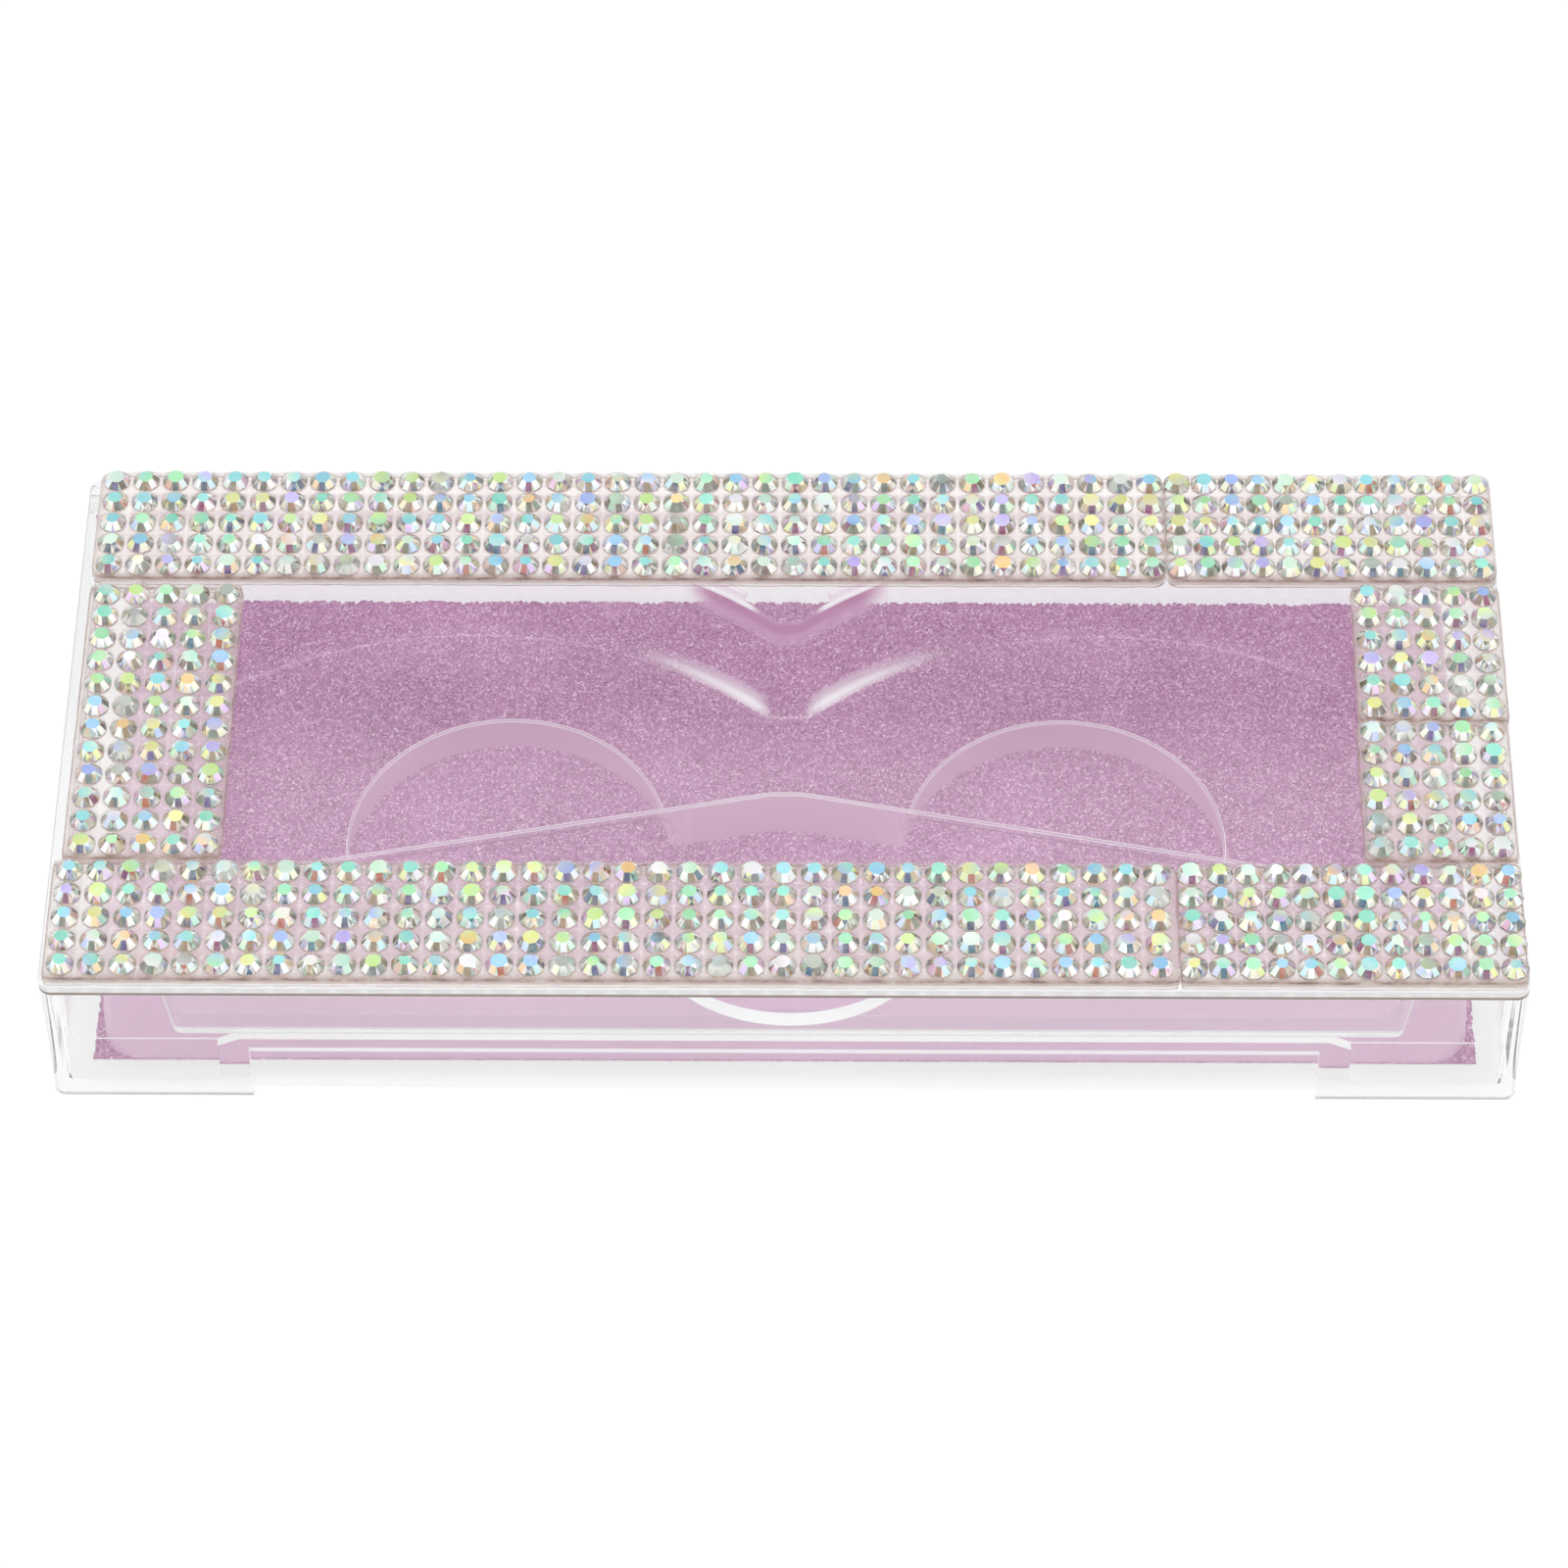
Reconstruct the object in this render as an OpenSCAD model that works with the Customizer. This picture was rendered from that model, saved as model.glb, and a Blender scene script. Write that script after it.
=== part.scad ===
// False eyelash case: a clear hinged box with a card floor, a formed lash tray
// and rhinestone banding glued round the border of the lid.
// Millimetres, Z up, front of the case towards -Y, origin under the middle of the case.

/* [Case] */
// Width of the case
case_w = 110; // [90:0.5:130]
// Depth of the case from front edge to hinge edge
case_d = 50.4; // [46:0.2:60]
// Height of the rim of the base
rim_z = 12.3; // [11:0.1:16]
// Wall of the base
wall_t = 1.2; // [0.8:0.1:2]
// Floor of the base
floor_t = 1.2; // [0.8:0.1:2]
// Radius of the upright corners
corner_r = 1; // [0.4:0.1:2]

/* [Front wall] */
// Half the chord of the thumb notch
notch_half = 7.5; // [5:0.5:12]
// Depth of the thumb notch below the rim
notch_deep = 3.4; // [2:0.1:5]
// Sideways place of the thumb notch
notch_x = 0.5; // [-2:0.1:2]
// Half length of the low recess in the front face
recess_half = 39.9; // [30:0.5:45]
// Height of the low recess
recess_z = 5.5; // [4:0.1:7]
// How far the low recess steps in
recess_deep = 0.8; // [0.4:0.1:1]

/* [Lid] */
// Thickness of the lid plate
lid_t = 0.9; // [0.8:0.1:1.6]
// Half length of the flange behind the front wall
flange_half = 45.8; // [40:0.1:50]
// Bottom of that flange
flange_z = 6.5; // [6.4:0.1:9]
// Thickness of that flange
flange_t = 1; // [0.8:0.1:1.4]

/* [Hinge] */
// Radius of the round ears of lid and base
ear_r = 1.5; // [1.2:0.1:1.6]
// Distance of the hinge axis below the rim
axis_drop = 1.6; // [1.6:0.1:2]
// Thickness of the two ears of the lid
ear_t = 1.2; // [0.8:0.1:1.6]
// Radius of the two hinge pins
pin_r = 0.7; // [0.5:0.05:0.8]
// Running clearance of the pins
pin_gap = 0.05; // [0.03:0.01:0.1]

/* [Card] */
// Width of the card
card_w = 104.2; // [95:0.2:106]
// Depth of the card
card_d = 44.4; // [40:0.2:45]
// Thickness of the card
card_t = 0.3; // [0.2:0.05:0.6]

/* [Lash tray] */
// Thickness of the formed sheet
film_t = 0.35; // [0.25:0.05:0.6]
// Top of the rim of the tray above the card
tray_rim = 9.4; // [8:0.1:9.6]
// Top of the front shelf above the card
shelf_top = 5.7; // [4.5:0.1:7]
// Top of the two lash platforms above the card
perch_top = 4.3; // [3:0.1:5]
// Radius of the lash platforms
perch_r = 12.3; // [10:0.1:13]
// Sideways place of the lash platforms
perch_x = 21.3; // [18:0.1:24]
// Radius of the double arch at the floor of the tray
arch_r = 36.5; // [34:0.1:40]

/* [Rhinestone banding] */
// Thickness of the resin carrier
band_t = 0.85; // [0.6:0.05:1.2]
// Thickness of the adhesive
glue_t = 0.25; // [0.15:0.05:0.4]
// Width of a stone across its flats
stone_w = 1.96; // [1.6:0.02:2]
// Width of the table of a stone
table_w = 1.06; // [0.8:0.02:1.4]
// Depth a stone sits in the carrier
seat_t = 0.3; // [0.2:0.05:0.5]
// Height of the upright girdle above the carrier
girdle_t = 0.08; // [0.04:0.02:0.2]
// Height of the crown above the girdle
crown_t = 0.52; // [0.3:0.02:0.7]
// Long pitch of the stones
pitch_a = 2.315; // [2.1:0.005:2.5]
// Short pitch of the stones at the back
pitch_b = 2.17; // [2.1:0.005:2.5]
// Short pitch of the stones at the front
pitch_f = 2.2; // [2.1:0.005:2.5]
// Short pitch of the stones at the sides
pitch_s = 2.25; // [2.1:0.005:2.5]

/* [Hidden] */
$fn = 72;
hx = case_w / 2;
hy = case_d / 2;
lid_z = rim_z + lid_t;
axis_y = hy - 1.7;
axis_z = rim_z - axis_drop;
rear_y = axis_y + 0.9;
inner_x = hx - wall_t;
inner_front = -hy + wall_t;
inner_rear = rear_y - wall_t;
ear_x = inner_x - 0.1;
bulge_z = recess_z + 0.8;
sill_t = 0.1;
flange_x = 0.3;
card_y = -0.05;
card_top = floor_t + card_t;
tray_w = 102.8;
tray_front = -22.2;
tray_back = 21.8;
arch_x = 24.75;
arch_y = -17.4;
arch_flare = 1.5;
side_x = 44.5;
side_flare = 1.2;
pillar_y = 10.7;
perch_y = -5.6;
perch_flare = 0.5;
ridge_y = -1.5;
ridge_slope = 0.198;
lift = 0.01;
glue_z = lid_z + glue_t;
band_z = glue_z + band_t;

// Flat rectangle with true round corners
module round_rect(x0, y0, x1, y1, r) {
  union() {
    translate([x0 + r, y0]) square([x1 - x0 - 2 * r, y1 - y0]);
    translate([x0, y0 + r]) square([x1 - x0, y1 - y0 - 2 * r]);
    translate([x0 + r, y0 + r]) circle(r = r);
    translate([x1 - r, y0 + r]) circle(r = r);
    translate([x0 + r, y1 - r]) circle(r = r);
    translate([x1 - r, y1 - r]) circle(r = r);
  }
}

// Slab from a rounded rectangle
module round_slab(x0, y0, x1, y1, r, z0, z1) {
  translate([0, 0, z0]) linear_extrude(height = z1 - z0) round_rect(x0, y0, x1, y1, r);
}

// Bar along X
module x_bar(x0, x1, y, z, r) {
  translate([x0, y, z]) rotate([0, 90, 0]) cylinder(r = r, h = x1 - x0);
}

// Prism along X from a profile of [y, z] points
module x_prism(x0, x1, pts) {
  translate([x0, 0, 0]) rotate([90, 0, 90]) linear_extrude(height = x1 - x0) polygon(pts);
}

// Front wall in elevation: polygon of [x, z] points, thickness t, outer face at y
module front_plate(y, t, pts) {
  translate([0, y + t, 0]) rotate([90, 0, 0]) linear_extrude(height = t) polygon(pts);
}

module case_base() {
  notch_r = (notch_half * notch_half + notch_deep * notch_deep) / (2 * notch_deep);
  color("#e8ecee") difference() {
    union() {
      difference() {
        round_slab(-hx, -hy, hx, rear_y, corner_r, 0, rim_z);
        round_slab(-inner_x, inner_front, inner_x, inner_rear, 0.6, floor_t, rim_z + 1);
        // Top of the back wall and of the wall ends clears the turning lid
        translate([-hx - 1, axis_y, axis_z + 1.3]) cube([2 * hx + 2, 10, 10]);
        translate([-inner_x, inner_rear - 1, axis_z + 1.3]) cube([2 * inner_x, 10, 10]);
        // Slots for the ears of the lid
        for (s = [-1, 1])
          translate([s * (ear_x - ear_t / 2) - ear_t / 2 - 0.1, axis_y - 2, axis_z - 2.4])
            cube([ear_t + 0.2, 10, 10]);
      }
      // Round ears at the ends of the side walls
      x_bar(-hx, -inner_x, axis_y, axis_z, ear_r);
      x_bar(inner_x, hx, axis_y, axis_z, ear_r);
      // Lower front wall is a hair thicker than the upper
      front_plate(inner_front, sill_t,
        [[-inner_x - 0.1, floor_t - 0.1], [inner_x + 0.1, floor_t - 0.1],
        [inner_x + 0.1, bulge_z], [-inner_x - 0.1, bulge_z]]);
      // Step of the low recess, seen on the inside of the front wall
      front_plate(inner_front, recess_deep,
        [[-recess_half - 2.4, floor_t - 0.1], [recess_half + 2.4, floor_t - 0.1],
        [recess_half + 2.4, bulge_z - 0.9], [recess_half + 0.6, bulge_z],
        [-recess_half - 0.6, bulge_z], [-recess_half - 2.4, bulge_z - 0.9]]);
    }
    x_bar(-hx - 1, hx + 1, axis_y, axis_z, pin_r + pin_gap);
    translate([-recess_half, -hy - 1, -1]) cube([2 * recess_half, recess_deep + 1, recess_z + 1]);
    translate([notch_x, -hy - 1, rim_z - notch_deep + notch_r]) rotate([-90, 0, 0])
      cylinder(r = notch_r, h = wall_t + 2);
  }
}

// Ear and pin of the lid on side s
module lid_ear(s) {
  x0 = s > 0 ? ear_x - ear_t : -ear_x;
  union() {
    x_bar(x0, x0 + ear_t, axis_y, axis_z, ear_r);
    translate([x0, axis_y - ear_r, axis_z]) cube([ear_t, 2 * ear_r, rim_z - axis_z + 0.2]);
    x_bar(s > 0 ? ear_x - 0.5 : -hx + 0.1, s > 0 ? hx - 0.1 : -ear_x + 0.5, axis_y, axis_z, pin_r);
  }
}

module lid() {
  color("#eef1f3") union() {
    round_slab(-hx, -hy, hx, hy, corner_r, rim_z, lid_z);
    lid_ear(-1);
    lid_ear(1);
    // Flange with sloped ends and rounded lower corners
    front_plate(inner_front + 0.35, flange_t,
      [[flange_x - flange_half - 0.7, rim_z + 0.2], [flange_x + flange_half + 0.7, rim_z + 0.2],
      [flange_x + flange_half, flange_z + 0.8], [flange_x + flange_half - 0.8, flange_z],
      [flange_x - flange_half + 0.8, flange_z], [flange_x - flange_half, flange_z + 0.8]]);
    for (s = [-1, 1])
      translate([flange_x + s * (flange_half - 0.8), inner_front + 0.35 + flange_t, flange_z + 0.8])
        rotate([90, 0, 0]) cylinder(r = 0.8, h = flange_t);
  }
}

module glitter_card() {
  color("#c79bc0")
    translate([-card_w / 2, card_y - card_d / 2, floor_t]) cube([card_w, card_d, card_t]);
}

// Opening of the tray between rim, sides and shelf, grown by o
module tray_recess(o) {
  h = tray_rim - film_t;
  z0 = card_top + film_t;
  intersection() {
    union() {
      for (s = [-1, 1]) {
        translate([s * arch_x, arch_y, z0]) cylinder(r1 = arch_r + o, r2 = arch_r + arch_flare + o, h = h);
        translate([s * arch_x, arch_y, z0 + h - lift]) cylinder(r = arch_r + arch_flare + o, h = 2);
        translate([s * arch_x, arch_y, z0 - 2 + lift]) cylinder(r = arch_r + o, h = 2);
      }
      x_prism(-15, 15, [[-10, z0 - 2], [pillar_y + o, z0 - 2], [pillar_y + o, z0],
        [pillar_y + arch_flare + o, z0 + h], [pillar_y + arch_flare + o, z0 + h + 2], [-10, z0 + h + 2]]);
    }
    translate([0, 60, 0]) rotate([90, 0, 0]) linear_extrude(height = 120)
      polygon([[-side_x - o, z0 - 2], [side_x + o, z0 - 2], [side_x + o, z0],
        [side_x + side_flare + o, z0 + h], [side_x + side_flare + o, z0 + h + 2],
        [-side_x - side_flare - o, z0 + h + 2], [-side_x - side_flare - o, z0 + h], [-side_x - o, z0]]);
  }
}

// Everything the sheet is formed over, drawn in by o
module tray_form(o) {
  z0 = card_top - (o > 0 ? 1 : 0);
  rim = card_top + tray_rim - o;
  shelf = card_top + shelf_top - o;
  perch = card_top + perch_top - o;
  x1 = tray_w / 2 - o;
  y0 = tray_front + o;
  y1 = tray_back - o;
  union() {
    difference() {
      round_slab(-x1, y0, x1, y1, 3 - o, z0, rim);
      tray_recess(o);
    }
    // Front shelf, its back edge rising to a blunt ridge in the middle
    intersection() {
      translate([0, 0, z0]) linear_extrude(height = shelf - z0)
        polygon([[-side_x - 2, y0], [side_x + 2, y0],
          [side_x + 2, ridge_y - o - ridge_slope * (side_x + 2)],
          [1.2, ridge_y - o - ridge_slope * 1.2],
          [-1.2, ridge_y - o - ridge_slope * 1.2],
          [-side_x - 2, ridge_y - o - ridge_slope * (side_x + 2)]]);
      round_slab(-x1, y0, x1, y1, 3 - o, z0, rim);
    }
    // Lash platforms
    for (s = [-1, 1])
      translate([s * perch_x, perch_y, z0])
        cylinder(r1 = perch_r + perch_flare - o, r2 = perch_r - o, h = perch - z0);
  }
}

module lash_tray() {
  color("#f2f2f6") difference() {
    union() {
      round_slab(-tray_w / 2, tray_front, tray_w / 2, tray_back, 3, card_top, card_top + film_t);
      tray_form(0);
    }
    tray_form(film_t);
  }
}

// Faceted stone: upright octagonal girdle and eight crown facets up to the table
module stone() {
  a = stone_w / 2;
  c = table_w / 2;
  z1 = seat_t + girdle_t;
  z2 = z1 + crown_t;
  intersection_for (k = [0 : 3])
    rotate([0, 0, 45 * k]) rotate([90, 0, 0]) translate([0, 0, -2]) linear_extrude(height = 4)
      polygon([[-a, 0], [a, 0], [a, z1], [c, z2], [-c, z2], [-a, z1]]);
}

// Seat of one stone, cut into the carrier
module seat() {
  a = stone_w / 2;
  cylinder(r = a / cos(22.5), h = 2, $fn = 8);
}

// Place of every stone of a band: s = [centre x, centre y, columns, rows, pitch x, pitch y]
module each_seat(s) {
  for (i = [0 : s[2] - 1])
    for (j = [0 : s[3] - 1])
      translate([s[0] + (i - (s[2] - 1) / 2) * s[4], s[1] + (j - (s[3] - 1) / 2) * s[5], band_z - seat_t])
        children();
}

// Outline of a band: s[6] holds its margins beyond the outer stones, [-x, +x, -y, +y]
module band_slab(s, inset, z0, z1) {
  w = (s[2] - 1) * s[4] / 2 - inset;
  d = (s[3] - 1) * s[5] / 2 - inset;
  m = s[6];
  round_slab(s[0] - w - m[0], s[1] - d - m[2], s[0] + w + m[1], s[1] + d + m[3], s[7], z0, z1);
}

// Carrier of one band with its seats
module band(s) {
  color("#d8cfcc") difference() {
    band_slab(s, 0, glue_z, band_z);
    each_seat(s) rotate([0, 0, 22.5]) seat();
  }
}

// Stones of one band, each a solid of its own
module stones(s) {
  color("#bfe8e0") each_seat(s) stone();
}

// Adhesive under one band
module glue(s) {
  color("#efe6d8") band_slab(s, 0.15, lid_z, glue_z);
}

// Layout of the seven bands: centre, columns, rows, pitches, margins, corner radius
back_long = [-12.24, 19.7, 36, 5, pitch_a, pitch_b, [1.3, 1.05, 1.1, 1.05], 0.8];
back_short = [42.08, 19.7, 12, 5, 2.12, pitch_b, [0.95, 1.2, 1.1, 1.05], 0.8];
left = [-48, -0.1, 5, 12, pitch_a, pitch_s, [1.4, 1.15, 1.1, 1.1], 0.3];
right_rear = [49.2, 6.86, 5, 6, 2.235, pitch_s, [1.15, 1.3, 1.05, 1.1], 0.3];
right_front = [49, -6.75, 5, 6, 2.24, pitch_s, [1.15, 1.3, 1.1, 1.05], 0.3];
front_long = [-12.79, -19.42, 36, 5, pitch_a, pitch_f, [1.3, 1.4, 1.15, 1.1], 0.3];
front_short = [42.02, -19.42, 12, 5, 2.145, pitch_f, [0.95, 0.95, 1.15, 1.1], 0.3];

module band_back_long() { band(back_long); }
module band_back_short() { band(back_short); }
module band_left() { band(left); }
module band_right_rear() { band(right_rear); }
module band_right_front() { band(right_front); }
module band_front_long() { band(front_long); }
module band_front_short() { band(front_short); }
module stones_back_long() { stones(back_long); }
module stones_back_short() { stones(back_short); }
module stones_left() { stones(left); }
module stones_right_rear() { stones(right_rear); }
module stones_right_front() { stones(right_front); }
module stones_front_long() { stones(front_long); }
module stones_front_short() { stones(front_short); }
module glue_back_long() { glue(back_long); }
module glue_back_short() { glue(back_short); }
module glue_left() { glue(left); }
module glue_right_rear() { glue(right_rear); }
module glue_right_front() { glue(right_front); }
module glue_front_long() { glue(front_long); }
module glue_front_short() { glue(front_short); }

case_base();
lid();
glitter_card();
lash_tray();
band_back_long();
band_back_short();
band_left();
band_right_rear();
band_right_front();
band_front_long();
band_front_short();
stones_back_long();
stones_back_short();
stones_left();
stones_right_rear();
stones_right_front();
stones_front_long();
stones_front_short();
glue_back_long();
glue_back_short();
glue_left();
glue_right_rear();
glue_right_front();
glue_front_long();
glue_front_short();
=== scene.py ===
# False eyelash case: looks of the clear box, its glitter card, its formed tray and its rhinestone banding.
import math
import random

import bmesh
import bpy
from mathutils import Matrix, Vector, geometry, noise


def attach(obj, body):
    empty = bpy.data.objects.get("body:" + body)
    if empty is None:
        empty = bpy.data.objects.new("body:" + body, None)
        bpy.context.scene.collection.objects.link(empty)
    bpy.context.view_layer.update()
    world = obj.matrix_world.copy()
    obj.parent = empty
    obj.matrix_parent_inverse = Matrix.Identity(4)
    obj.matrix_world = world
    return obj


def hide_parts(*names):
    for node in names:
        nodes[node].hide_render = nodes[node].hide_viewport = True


MM = 0.001
random.seed(7)

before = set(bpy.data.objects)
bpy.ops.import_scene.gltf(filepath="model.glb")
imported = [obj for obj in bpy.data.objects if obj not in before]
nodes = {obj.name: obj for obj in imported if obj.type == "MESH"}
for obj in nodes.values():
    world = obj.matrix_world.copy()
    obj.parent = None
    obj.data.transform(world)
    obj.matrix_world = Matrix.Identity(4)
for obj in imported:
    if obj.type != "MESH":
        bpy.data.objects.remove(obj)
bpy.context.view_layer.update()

# Levels of the part, millimetres
FLOOR_TOP = 1.2
CARD_TOP = 1.5
LID_Z = 13.2
GLUE_Z = 13.45
BAND_Z = 14.3
TABLE_Z = 14.9
NOTCH_LOW = 8.5
RECESS_TOP = 5.5
FLANGE_LOW = 6.75
PLATE_LOW = 12.2
SOLE_HIGH = 0.1

# Sideways and front to back places on the plastics, millimetres
CASE_HALF = (55.0, 25.2)
NO_OUTLINE = (99.0, 99.0)
NOTCH_HALF = 7.6
FRONT_WALL_Y = -23.95
PLATE_FRONT_Y = -24.5
PLATE_EDGE_Y = 24.6

# Ray depth past which light goes straight on through the plastic and the film
PLASTIC_DEPTH = 3.5
FILM_DEPTH = 8.5

# Layout of the seven bands: centre, columns, rows, pitches, margins beyond the outer stones,
# corner radius, strength of the pale ridges between columns, haze of the resin
BANDS = {
    "back_long": (-12.24, 19.7, 36, 5, 2.315, 2.17, (1.3, 1.05, 1.1, 1.05), 0.8, 0.05, 0.7),
    "back_short": (42.08, 19.7, 12, 5, 2.12, 2.17, (0.95, 1.2, 1.1, 1.05), 0.8, 0.05, 0.7),
    "left": (-48.0, -0.1, 5, 12, 2.315, 2.25, (1.4, 1.15, 1.1, 1.1), 0.3, 0.6, 0.12),
    "right_rear": (49.2, 6.86, 5, 6, 2.235, 2.25, (1.15, 1.3, 1.05, 1.1), 0.3, 0.5, 0.12),
    "right_front": (49.0, -6.75, 5, 6, 2.24, 2.25, (1.15, 1.3, 1.1, 1.05), 0.3, 0.6, 0.12),
    "front_long": (-12.79, -19.42, 36, 5, 2.315, 2.2, (1.3, 1.4, 1.15, 1.1), 0.3, 1.0, 0.0),
    "front_short": (42.02, -19.42, 12, 5, 2.145, 2.2, (0.95, 0.95, 1.15, 1.1), 0.3, 1.0, 0.0),
}

# Camera, from the fit to the photograph
CAM_AT = Vector((4.822, -300.747, 373.551))
CAM_RIGHT = Vector((0.99993893, 0.00917661, -0.0061583))
CAM_UP = Vector((-0.00319638, 0.77356802, 0.63370522))
FOCAL_PX = 6289.28
FRAME_PX = 1600
SENSOR = 36.0


def make_camera():
    data = bpy.data.cameras.new("camera")
    data.sensor_width = SENSOR
    data.lens = FOCAL_PX / FRAME_PX * SENSOR
    data.clip_start = 0.01
    data.clip_end = 10
    cam = bpy.data.objects.new("camera", data)
    bpy.context.scene.collection.objects.link(cam)
    back = CAM_RIGHT.cross(CAM_UP).normalized()
    turn = Matrix((CAM_RIGHT, CAM_UP, back)).transposed().to_4x4()
    cam.matrix_world = Matrix.Translation(CAM_AT * MM) @ turn
    bpy.context.scene.camera = cam


# Colour and node helpers
def lin(r, g, b):
    """Linear colour from 0 to 255 screen values."""
    out = []
    for v in (r, g, b):
        c = v / 255
        out.append(c / 12.92 if c <= 0.04045 else ((c + 0.055) / 1.055) ** 2.4)
    return (*out, 1.0)


class Nodes:
    """Short hand for building a node tree."""

    def __init__(self, tree):
        self.tree = tree

    def add(self, kind, **settings):
        n = self.tree.nodes.new(kind)
        for key, value in settings.items():
            setattr(n, key, value)
        return n

    def link(self, a, b):
        self.tree.links.new(a, b)

    def place(self):
        return self.add("ShaderNodeTexCoord").outputs["Object"]

    def noise(self, scale, detail=2.0, rough=0.5, where=None):
        n = self.add("ShaderNodeTexNoise")
        n.inputs["Scale"].default_value = scale
        n.inputs["Detail"].default_value = detail
        n.inputs["Roughness"].default_value = rough
        self.link(where or self.place(), n.inputs["Vector"])
        return n.outputs["Fac"]

    def cells(self, scale, where=None):
        n = self.add("ShaderNodeTexVoronoi")
        n.inputs["Scale"].default_value = scale
        self.link(where or self.place(), n.inputs["Vector"])
        return n

    def spread(self, value, low, high, to_low, to_high):
        n = self.add("ShaderNodeMapRange")
        n.clamp = True
        self.link(value, n.inputs["Value"])
        for name, v in (("From Min", low), ("From Max", high), ("To Min", to_low), ("To Max", to_high)):
            n.inputs[name].default_value = v
        return n.outputs["Result"]

    def ramp(self, value, stops, interpolation="LINEAR"):
        n = self.add("ShaderNodeValToRGB")
        n.color_ramp.interpolation = interpolation
        while len(n.color_ramp.elements) < len(stops):
            n.color_ramp.elements.new(0.5)
        for e, (at, colour) in zip(n.color_ramp.elements, stops):
            e.position = at
            e.color = colour
        self.link(value, n.inputs["Fac"])
        return n.outputs["Color"]

    def mix(self, fac, a, b, blend="MIX"):
        n = self.add("ShaderNodeMix", data_type="RGBA", blend_type=blend)
        for value, socket in ((fac, n.inputs[0]), (a, n.inputs[6]), (b, n.inputs[7])):
            if hasattr(value, "is_output"):
                self.link(value, socket)
            else:
                socket.default_value = value
        return n.outputs[2]

    def maths(self, operation, a, b=0.5):
        n = self.add("ShaderNodeMath", operation=operation)
        for value, socket in ((a, n.inputs[0]), (b, n.inputs[1])):
            if hasattr(value, "is_output"):
                self.link(value, socket)
            else:
                socket.default_value = value
        return n.outputs[0]

    def times(self, first, *others):
        for other in others:
            first = self.maths("MULTIPLY", first, other)
        return first

    def most(self, first, *others):
        for other in others:
            first = self.maths("MAXIMUM", first, other)
        return first

    def above(self, value, limit):
        return self.maths("GREATER_THAN", value, limit)

    def below(self, value, limit):
        return self.maths("LESS_THAN", value, limit)

    def size(self, value):
        return self.maths("ABSOLUTE", value)

    def light_path(self):
        return self.add("ShaderNodeLightPath").outputs

    def mark(self, name):
        return self.add("ShaderNodeAttribute", attribute_name=name).outputs["Fac"]

    def mixed(self, fac, a, b):
        n = self.add("ShaderNodeMixShader")
        if hasattr(fac, "is_output"):
            self.link(fac, n.inputs[0])
        else:
            n.inputs[0].default_value = fac
        self.link(a, n.inputs[1])
        self.link(b, n.inputs[2])
        return n.outputs[0]

    def shade(self, kind, colour, roughness=None):
        n = self.add(kind)
        if hasattr(colour, "is_output"):
            self.link(colour, n.inputs["Color"])
        else:
            n.inputs["Color"].default_value = colour
        if roughness is not None:
            n.inputs["Roughness"].default_value = roughness
        return n.outputs[0]

    def facing(self, axis, kind="True Normal"):
        """One part, -1 to 1, of the surface's normal in the piece's own frame."""
        turn = self.add("ShaderNodeVectorTransform", vector_type="NORMAL")
        turn.convert_from = "WORLD"
        turn.convert_to = "OBJECT"
        self.link(self.add("ShaderNodeNewGeometry").outputs[kind], turn.inputs[0])
        split = self.add("ShaderNodeSeparateXYZ")
        self.link(turn.outputs[0], split.inputs[0])
        return split.outputs[axis]

    def rising(self):
        """How far the smooth surface faces up, -1 to 1."""
        return self.facing("Z", "Normal")


class Finish(Nodes):
    """One material and its node tree."""

    def __init__(self, name):
        self.mat = bpy.data.materials.new(name)
        self.mat.use_nodes = True
        super().__init__(self.mat.node_tree)
        self.shader = self.tree.nodes["Principled BSDF"]
        self.output = self.tree.nodes["Material Output"]

    def put(self, **values):
        for key, value in values.items():
            self.shader.inputs[key.replace("_", " ")].default_value = value

    def feed(self, name, socket):
        self.link(socket, self.shader.inputs[name])

    def bump(self, height, distance, strength=1.0):
        n = self.add("ShaderNodeBump")
        n.inputs["Strength"].default_value = strength
        n.inputs["Distance"].default_value = distance
        self.link(height, n.inputs["Height"])
        self.feed("Normal", n.outputs["Normal"])

    def surface(self, socket):
        self.link(socket, self.output.inputs["Surface"])


def case_painted_glow(n, x, y, z):
    """Narrow faces of the base painted pale as a glow: the cut of the notch and the ledge of the recess.
    """
    across = n.below(n.size(n.facing("Y")), 0.5)
    cut = n.times(n.below(n.size(x), NOTCH_HALF), n.above(z, NOTCH_LOW), across)
    level = n.above(n.size(n.rising()), 0.6)
    ledge = n.times(n.below(n.size(n.maths("SUBTRACT", z, RECESS_TOP)), 0.2), level)
    return n.times(n.below(y, FRONT_WALL_Y), n.most(cut, ledge)), 0.0


def lid_painted_glow_and_shade(n, x, y, z):
    """Narrow faces of the lid painted pale as a glow, and the line where its plate's front rests on the
    base, painted darker as shade.
    """
    upright = n.below(n.size(n.rising()), 0.8)
    plate = n.times(n.most(upright, n.above(n.size(y), PLATE_EDGE_Y)), n.above(z, PLATE_LOW))
    ends = n.times(n.below(z, PLATE_LOW), n.above(n.size(n.facing("X")), 0.6))
    flange = n.most(n.below(z, FLANGE_LOW), ends)
    low = n.spread(z, PLATE_LOW + 0.35, PLATE_LOW + 0.45, 1, 0)
    return n.most(plate, flange), n.times(plate, low, n.below(y, PLATE_FRONT_Y))


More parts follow.
